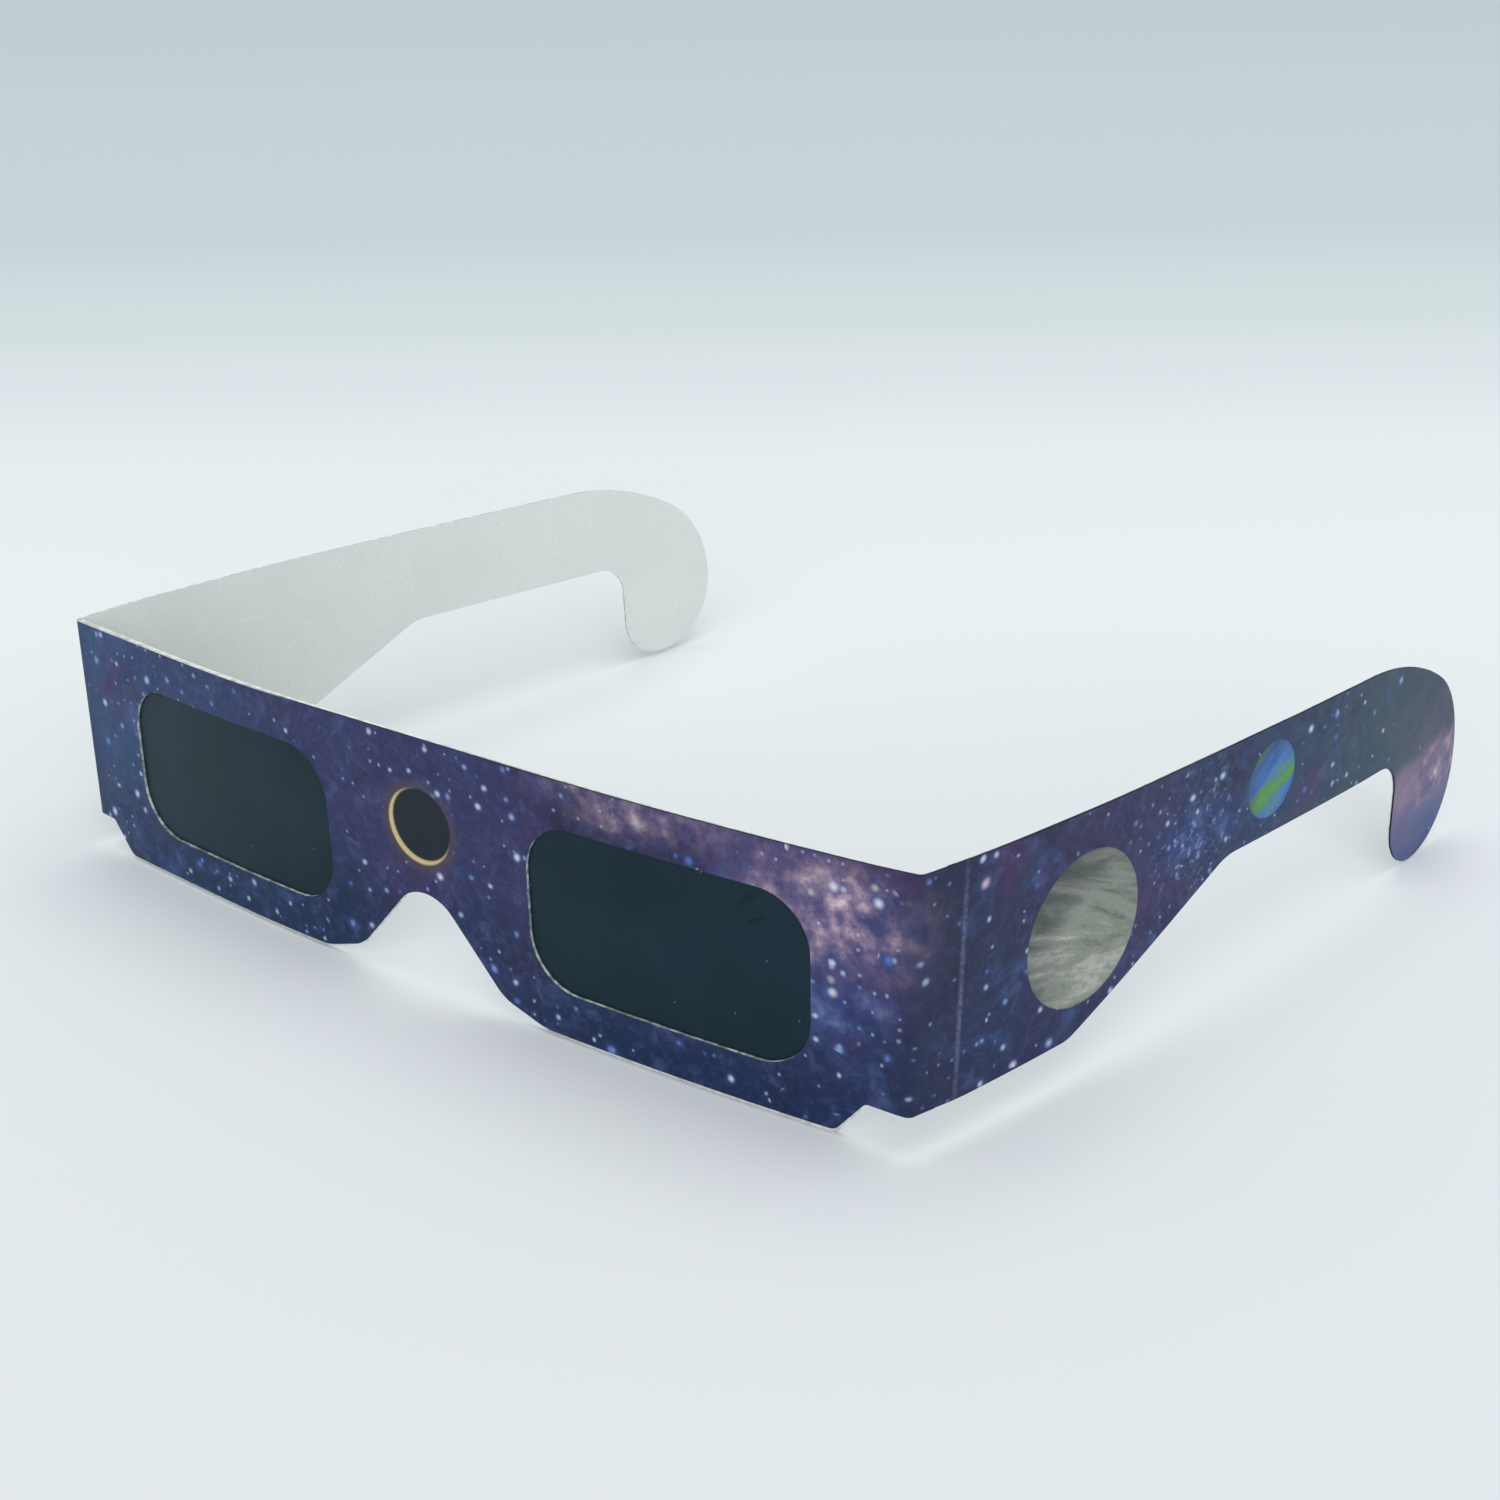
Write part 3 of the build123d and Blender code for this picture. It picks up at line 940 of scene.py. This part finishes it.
# %% Outline of a temple
crease_overrun = 6 * mm
root_length = 20.2 * mm
root_rise = 0.8 * mm
root_radius = 5.0 * mm
taper_end = 51.5 * mm
taper_radius = 9.0 * mm
arm_height = 15.7 * mm
hook_lean = 1.0 * mm
hook_corner_radius = 5.5 * mm
hook_depth = 34.4 * mm
tip_outer_radius = 12.0 * mm
tip_inner_radius = 7.9 * mm
hook_back = (19.2 * mm, radians(20))
hook_crown = (18.0 * mm, radians(40))


def hook_back_corners():
    """Corners of three arcs up the hook's back, over its crown, and on to the top edge."""
    tip_depth = hook_depth - tip_outer_radius
    (back_radius, back_bend), (crown_radius, crown_bend) = hook_back, hook_crown
    bent = back_bend + crown_bend
    rise = back_radius * sin(back_bend) + crown_radius * (sin(bent) - sin(back_bend))
    brow_radius = (tip_depth - rise) / (1 - sin(bent))
    arcs = ((back_radius, back_bend), (crown_radius, crown_bend), (brow_radius, pi / 2 - bent))
    spot, heading = Vector((arm_length, -tip_depth)), pi / 2
    corners = []
    for radius, bend in arcs:
        reach = radius * tan(bend / 2)
        spot = spot + Vector((cos(heading), sin(heading))) * reach
        corners.append((spot.x, spot.y, radius))
        heading += bend
        spot = spot + Vector((cos(heading), sin(heading))) * reach
    return corners


def temple_corners():
    """Corners of a temple from its crease at the origin, with its top edge at height zero."""
    crease_foot = notch_height - front_height
    return (
        [(arm_length, -hook_depth, tip_outer_radius)]
        + hook_back_corners()
        + [
            (-crease_overrun, 0, 0),
            (-crease_overrun, crease_foot, 0),
            (0, crease_foot, 0),
            (root_length, crease_foot + root_rise, root_radius),
            (taper_end, -arm_height, taper_radius),
            (hook_start, -arm_height, hook_corner_radius),
            (hook_start + hook_lean, -hook_depth, tip_inner_radius),
        ]
    )


# %% [markdown]
# ## The printed front
#
# The front is the middle of the long outer card, print outside and bare inside. Its outline could
# be filled with one face, but one face can't follow the bow, so a flat grid is cut and then bent.
# It ends a little before each fold, where the fold's own piece takes over. Its foot is cut a trifle
# short, so that the white card behind shows under it as a pale sliver.

# %% Printed front
fold_margin = 2.5 * mm
outline_overrun = 9 * mm
foot_trim = 0.5 * mm
outline_reach = front_half + outline_overrun
rows = even_rows(0, card_top)
columns = spaced(-right_fold_from + fold_margin, left_fold_from - fold_margin, card_stride)
front = add_sheet("printed_front", columns, rows, card, 0, printed_materials)
cut(front, add_cutter(front_corners(outline_reach, outline_reach, foot_trim)), "INTERSECT")
cut_windows(front)
lay_on_line(front)
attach(front, "panel")
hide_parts("front_card")

# %% [markdown]
# ## The white card behind it
#
# The inner card has the same outline and windows but ends just short of the folds. A card that is
# glued by hand never lies quite straight, so its outline is cut turned by a tenth of a degree about
# the corner at the left notch, and it is a quarter of a millimetre lower than the front. Its rows
# start lower and go on past the top, so that the turned outline still finds card everywhere.

# %% White card
back_end_gap = 0.6 * mm
back_turn = radians(0.1)
back_depth = card + glue
spare = 1 * mm


def long_rows(drop):
    """The front's rows, started this much lower and gone on past the top."""
    return [row - drop for row in rows] + [card_top, card_top + spare]


corner = (notch_half - blank_shift, front_lift)
columns = spaced(-front_half + back_end_gap, front_half - back_end_gap, card_stride)
back = add_sheet("inner_card", columns, long_rows(front_lift), card, back_depth, white_materials)
outline = front_corners(outline_reach, outline_reach)
cut(back, add_cutter(outline, -back_turn, corner), "INTERSECT")
cut_windows(back, turn=-back_turn, about=corner)
for vertex in back.data.vertices:
    vertex.co.z -= front_lift
lay_on_line(back)
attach(back, "panel")
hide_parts("back_card")
print("inner card", len(back.data.polygons), "faces")

# %% [markdown]
# ## Glue and films
#
# The glue is a thin layer between the cards, trimmed back from their edges, with a pocket round
# each film. Each film is cut a little larger than its window and lies in that pocket. Flat sheets
# would cut through the cards, which bow and lean at the folds, so the glue and the films are bent
# along the same line. A film has twice as many rows as a card, because a facet would show in its
# sheen.

# %% Glue between the cards, with a pocket round each film
film_margin, pocket_gap = 3.0 * mm, 0.2 * mm
film_depth = (card + glue) / 2
glue_trim, glue_top_gap, glue_fill = 0.7 * mm, 0.15 * mm, 0.9
glue_reach = front_half - back_end_gap - glue_trim
columns = spaced(-glue_reach, glue_reach, card_stride)
glue_sheet = add_sheet(
    "glue_between", columns, even_rows(0, card_top - glue_top_gap),
    glue_fill * glue, film_depth, [dried_glue.material] * 4,
)
cut(glue_sheet, add_cutter(front_corners(front_half, front_half, glue_trim)), "INTERSECT")
cut_windows(glue_sheet, film_margin + pocket_gap)
lay_on_line(glue_sheet)
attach(glue_sheet, "panel")
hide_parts("glue_layer")
print("glue", len(glue_sheet.data.polygons), "faces")

# %% Films
for side, name in ((1, "left"), (-1, "right")):
    corners = window_corners(side, film_margin)
    (start, low, _), (end, high, _) = corners[0], corners[2]
    columns, film_rows = spaced(start, end, card_stride), even_rows(low, high, film_row_steps)
    film_materials = [tint.material] * 4
    sheet = add_sheet(name + "_film", columns, film_rows, film, film_depth, film_materials)
    lay_on_line(sheet)
    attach(sheet, "panel")
    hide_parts(name + "_filter")
    print(name, "film", len(sheet.data.polygons), "faces")

# %% [markdown]
# ## Folds and temples
#
# At each end of the front the card turns by a rounded fold, and a few millimetres later by a die
# crease. Two plates that meet at a hinge would leave a gap when they turn, and card has none.
# Their columns stand close together where they turn. The temple's outline is cut turned down by
# about a degree, because both temples droop a little.

# %% The card round a fold
fold_stride = 0.6 * mm


def add_fold(side, name, fold_from, fold_to, crease):
    """Card from the end of the front, round the fold, to the middle of the strip."""
    split = (fold_to + crease) / 2
    ends = sorted((side * (fold_from - fold_margin), side * split))
    columns = spaced(*ends, fold_stride, [side * (fold_from + fold_to) / 2])
    strip = add_sheet(name + "_fold", columns, rows, card, 0, printed_materials)
    cut(strip, add_cutter(front_corners(crease, crease)), "INTERSECT")
    lay_on_line(strip)
    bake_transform(strip)
    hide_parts(name + "_strip")


# %% A temple with its hook
droops = {"left": radians(1.42), "right": radians(0.99)}
row_drop = 0.5 * mm


def add_temple(side, name, fold_to, crease):
    """Card from the middle of the strip, over the crease, to the tip of the hook."""
    ends = sorted((side * (fold_to + crease) / 2, side * (crease + arm_length + spare)))
    columns = spaced(*ends, card_stride, [side * crease])
    temple_rows = long_rows(row_drop)
    temple = add_sheet(name + "_arm", columns, temple_rows, card, 0, printed_materials)
    corners = [(side * (crease + x), card_top + z, radius) for x, z, radius in temple_corners()]
    cutter = add_cutter(corners, -side * droops[name], (side * crease, card_top))
    cut(temple, cutter, "INTERSECT")
    lay_on_line(temple)
    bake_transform(temple)
    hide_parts(name + "_temple")
    print(name, "arm", len(temple.data.polygons), "faces")


# %% Folds and temples on both sides
add_fold(1, "left", left_fold_from, left_fold_to, left_crease)
add_temple(1, "left", left_fold_to, left_crease)
add_fold(-1, "right", right_fold_from, right_fold_to, right_crease)
add_temple(-1, "right", right_fold_to, right_crease)
bpy.data.objects.remove(card_line)

# %% [markdown]
# ## Camera, floor and light
#
# The photo was taken from the wearer's left, a little above the glasses. The table is one pale
# sweep whose colour turns greyer far away: painted shade, where the far table and the backdrop lie
# out of the light. That could be a bent backdrop, but a flat floor whose colour changes slowly gives
# the same look. The light is soft: one wide lamp stands high and a little behind, one stands low
# beside the camera, and the room fills in the rest, so the front lies in a gentle shade and its
# shadow falls forwards.

# %% Camera
camera_place = Vector((170.64, -238.39, 142.6)) * mm
camera_heading, camera_pitch, camera_roll = radians(36.3), radians(23.565), -0.01776
bpy.ops.object.camera_add()
camera = bpy.context.object
camera.data.sensor_width = 36
camera.data.lens = 50.24
camera.data.clip_start = 0.01
camera.matrix_world = (
    Matrix.Translation(camera_place)
    @ Matrix.Rotation(camera_heading, 4, "Z")
    @ Matrix.Rotation(pi / 2 - camera_pitch, 4, "X")
    @ Matrix.Rotation(camera_roll, 4, "Z")
)
bpy.context.scene.camera = camera

# %% Pale sweep that the glasses stand on, its colour greying towards the back as painted shade
bpy.ops.mesh.primitive_plane_add(size=8)
floor = bpy.context.object
floor.name = "floor"
sweep = Finish("pale_sweep", 0.9, gloss=0.1)
sweep_heading = radians(36.3)
sweep_line = {0: sweep.object_place(), 1: (-sin(sweep_heading), cos(sweep_heading), 0)}
back_of_table = sweep.add("VectorMath", sweep_line, output=1, operation="DOT_PRODUCT")
# painted shade: the colour is palest round the glasses, a little darker towards the camera and
# greyer towards the back, along the camera's heading, where the far table and backdrop lie out of
# the light
sweep.colour(sweep.colours(back_of_table, [
    (-0.14, ink(227, 232, 235)), (0.01, ink(229, 234, 237)), (0.11, ink(232, 238, 240)),
    (0.21, ink(230, 235, 238)), (0.31, ink(218, 226, 229)), (0.39, ink(209, 219, 221)),
    (0.58, ink(197, 208, 213)), (1.71, ink(190, 203, 208)),
], -0.3, 1.71))
floor.data.materials.append(sweep.material)


# %% Soft lamps: one high and a little behind, one low beside the camera
def add_lamp(name, towards, strength, softness):
    """A far lamp that shines from this direction, soft by its angle in degrees."""
    bpy.ops.object.light_add(type="SUN", location=towards)
    lamp = bpy.context.object
    lamp.name = name
    lamp.data.energy = strength
    lamp.data.angle = radians(softness)
    lamp.rotation_euler = (-lamp.location).to_track_quat("-Z", "Y").to_euler()


add_lamp("high_lamp", (0.05, 0.13, 1.0), 1.15, 60)
add_lamp("low_lamp", (0.53, -0.74, 0.5), 1.25, 60)

# %% Light of the room, and a plain pale backdrop for the camera and for gloss
world = bpy.data.worlds.new("room")
bpy.context.scene.world = world
world.use_nodes = True
room_nodes, wire = world.node_tree.nodes, world.node_tree.links.new
room_light = room_nodes["Background"]
room_light.inputs["Color"].default_value = (0.96, 0.99, 1.0, 1)
room_light.inputs["Strength"].default_value = 0.48
backdrop = room_nodes.new("ShaderNodeBackground")
backdrop.inputs["Color"].default_value = ink(203, 213, 217)
rays = room_nodes.new("ShaderNodeLightPath")
sees_backdrop = rays.outputs["Is Camera Ray"]
for kind in ("Is Glossy Ray", "Is Transmission Ray"):
    either = room_nodes.new("ShaderNodeMath")
    either.operation = "MAXIMUM"
    wire(sees_backdrop, either.inputs[0])
    wire(rays.outputs[kind], either.inputs[1])
    sees_backdrop = either.outputs[0]
shown = room_nodes.new("ShaderNodeMixShader")
for socket, source in enumerate((sees_backdrop, room_light.outputs[0], backdrop.outputs[0])):
    wire(source, shown.inputs[socket])
wire(shown.outputs[0], room_nodes["World Output"].inputs[0])
bpy.context.scene.view_settings.view_transform = "Standard"
